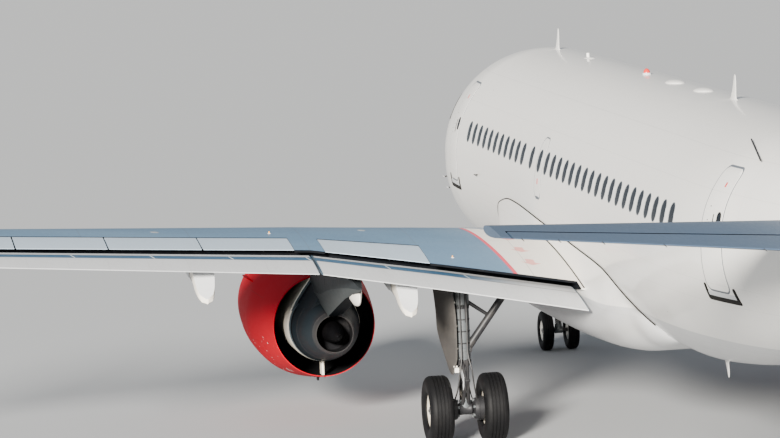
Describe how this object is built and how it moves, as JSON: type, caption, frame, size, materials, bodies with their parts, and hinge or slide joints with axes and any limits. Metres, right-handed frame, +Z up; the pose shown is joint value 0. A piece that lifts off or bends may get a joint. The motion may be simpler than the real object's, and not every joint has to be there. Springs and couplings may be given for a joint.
{
  "type": "short narrow-body twin-engined jet airliner",
  "caption": "Short narrow-body airliner with underwing engines in red cowls, standing on its gear with flaps a little way out.",
  "frame": {"origin": "on the ground under the middle of the aircraft's bounding box", "axes": "+Z up, -Y towards the nose, +X towards the port wing tip"},
  "size_m": [34.1, 33.84, 11.76],
  "materials": {
    "hull_paint": "gloss off-white paint",
    "belly_paint": "light grey paint",
    "wing_paint": "blue-grey satin paint",
    "flap_paint": "light grey satin paint",
    "pylon_paint": "mid grey satin paint",
    "cowl_paint": "gloss red paint",
    "engine_metal": "heat-darkened nickel alloy",
    "fan_metal": "satin titanium",
    "gear_paint": "grey gloss enamel, a little dirty",
    "wheel_metal": "cast and painted wheel, dusty",
    "tyre_rubber": "worn black rubber",
    "cockpit_glass": "dark laminated glass"
  },
  "bodies": {
    "airframe": {"wing_left": "wing_paint", "wing_right": "wing_paint", "flap_inboard_left": "flap_paint", "flap_outboard_left": "flap_paint", "pylon_left": "pylon_paint", "nacelle_left": "cowl_paint", "engine_core_left": "engine_metal", "flap_inboard_right": "flap_paint", "flap_outboard_right": "flap_paint", "pylon_right": "pylon_paint", "nacelle_right": "cowl_paint", "engine_core_right": "engine_metal", "tailplane_left": "wing_paint", "tailplane_right": "wing_paint", "fin": "hull_paint", "door_front_left": "hull_paint", "door_front_right": "hull_paint", "door_aft_left": "hull_paint", "door_aft_right": "hull_paint", "belly_fairing": "belly_paint", "cockpit_glazing": "cockpit_glass", "radome": "hull_paint", "nose_section": "hull_paint", "fuselage_forward": "hull_paint", "fuselage_centre": "hull_paint", "fuselage_aft": "hull_paint", "tail_section": "hull_paint", "tail_cone": "hull_paint", "main_gear_leg_left": "gear_paint", "main_gear_door_left": "pylon_paint", "main_gear_leg_right": "gear_paint", "main_gear_door_right": "pylon_paint", "nose_gear_leg": "gear_paint", "nose_gear_door_left": "hull_paint", "nose_gear_door_right": "hull_paint"},
    "fan_left": {"fan_left": "fan_metal"},
    "aileron_left": {"aileron_left": "wing_paint"},
    "spoiler_inboard_left": {"spoiler_inboard_left": "wing_paint"},
    "spoilers_outboard_left": {"spoilers_outboard_left": "wing_paint"},
    "elevator_left": {"elevator_left": "wing_paint"},
    "main_wheels_left": {"main_wheels_left": "wheel_metal", "main_tyre_outer_left": "tyre_rubber", "main_tyre_inner_left": "tyre_rubber"},
    "fan_right": {"fan_right": "fan_metal"},
    "aileron_right": {"aileron_right": "wing_paint"},
    "spoiler_inboard_right": {"spoiler_inboard_right": "wing_paint"},
    "spoilers_outboard_right": {"spoilers_outboard_right": "wing_paint"},
    "elevator_right": {"elevator_right": "wing_paint"},
    "main_wheels_right": {"main_wheels_right": "wheel_metal", "main_tyre_outer_right": "tyre_rubber", "main_tyre_inner_right": "tyre_rubber"},
    "rudder": {"rudder": "hull_paint"},
    "nose_steering": {"nose_gear_steering": "gear_paint"},
    "nose_wheels": {"nose_wheels": "wheel_metal", "nose_tyre_left": "tyre_rubber", "nose_tyre_right": "tyre_rubber"},
    "cargo_door_front": {"cargo_door_front": "hull_paint"},
    "cargo_door_aft": {"cargo_door_aft": "hull_paint"}
  },
  "joints": [
    {"name": "aileron_left_hinge", "type": "hinge", "parent": "airframe", "child": "aileron_left", "pos_m": [13.01, 1.89678, 4.0848], "axis": [0.9362, 0.3389, 0.0936], "range_deg": [-25, 25]},
    {"name": "spoiler_inboard_left_hinge", "type": "hinge", "parent": "airframe", "child": "spoiler_inboard_left", "pos_m": [4.43, -1.13417, 3.31897], "axis": [0.9883, 0.0824, 0.1284], "range_deg": [0, 50]},
    {"name": "spoilers_outboard_left_hinge", "type": "hinge", "parent": "airframe", "child": "spoilers_outboard_left", "pos_m": [6.68, -0.87311, 3.60161], "axis": [0.9411, 0.3257, 0.0912], "range_deg": [0, 50]},
    {"name": "elevator_left_hinge", "type": "hinge", "parent": "airframe", "child": "elevator_left", "pos_m": [1.18, 14.33713, 4.70051], "axis": [0.9376, 0.3295, 0.1114], "range_deg": [-17, 30]},
    {"name": "fan_left_shaft", "type": "hinge", "parent": "airframe", "child": "fan_left", "pos_m": [5.75, -6.49, 1.8], "axis": [0, 1, 0], "continuous": true},
    {"name": "main_wheels_left_axle", "type": "hinge", "parent": "airframe", "child": "main_wheels_left", "pos_m": [3.795, -0.81, 0.584], "axis": [1, 0, 0], "continuous": true},
    {"name": "aileron_right_hinge", "type": "hinge", "parent": "airframe", "child": "aileron_right", "pos_m": [-16.33, 3.09847, 4.41661], "axis": [0.9362, -0.3389, -0.0936], "range_deg": [-25, 25]},
    {"name": "spoiler_inboard_right_hinge", "type": "hinge", "parent": "airframe", "child": "spoiler_inboard_right", "pos_m": [-6.15, -0.99083, 3.54247], "axis": [0.9883, -0.0824, -0.1284], "range_deg": [0, 50]},
    {"name": "spoilers_outboard_right_hinge", "type": "hinge", "parent": "airframe", "child": "spoilers_outboard_right", "pos_m": [-12.88, 1.27232, 4.20228], "axis": [0.9411, -0.3257, -0.0912], "range_deg": [0, 50]},
    {"name": "elevator_right_hinge", "type": "hinge", "parent": "airframe", "child": "elevator_right", "pos_m": [-6.06, 16.05211, 5.28039], "axis": [0.9376, -0.3295, -0.1114], "range_deg": [-17, 30]},
    {"name": "fan_right_shaft", "type": "hinge", "parent": "airframe", "child": "fan_right", "pos_m": [-5.75, -6.49, 1.8], "axis": [0, 1, 0], "continuous": true},
    {"name": "main_wheels_right_axle", "type": "hinge", "parent": "airframe", "child": "main_wheels_right", "pos_m": [-3.795, -0.81, 0.584], "axis": [1, 0, 0], "continuous": true},
    {"name": "rudder_hinge", "type": "hinge", "parent": "airframe", "child": "rudder", "pos_m": [0, 13.84699, 6.08], "axis": [0, 0.4036, 0.9149], "range_deg": [-25, 25]},
    {"name": "nose_steering_pivot", "type": "hinge", "parent": "airframe", "child": "nose_steering", "pos_m": [0, -11.85, 0.9], "axis": [0, 0, 1], "range_deg": [-75, 75]},
    {"name": "nose_wheels_axle", "type": "hinge", "parent": "nose_steering", "child": "nose_wheels", "pos_m": [0, -11.85, 0.381], "axis": [1, 0, 0], "continuous": true},
    {"name": "cargo_door_front_hinge", "type": "hinge", "parent": "airframe", "child": "cargo_door_front", "pos_m": [-1.8994, -9.58, 3.248], "axis": [0, 1, 0], "range_deg": [0, 85]},
    {"name": "cargo_door_aft_hinge", "type": "hinge", "parent": "airframe", "child": "cargo_door_aft", "pos_m": [-1.91166, 5.03, 3.378], "axis": [0.0457, 0.999, 0], "range_deg": [0, 85]}
  ]
}
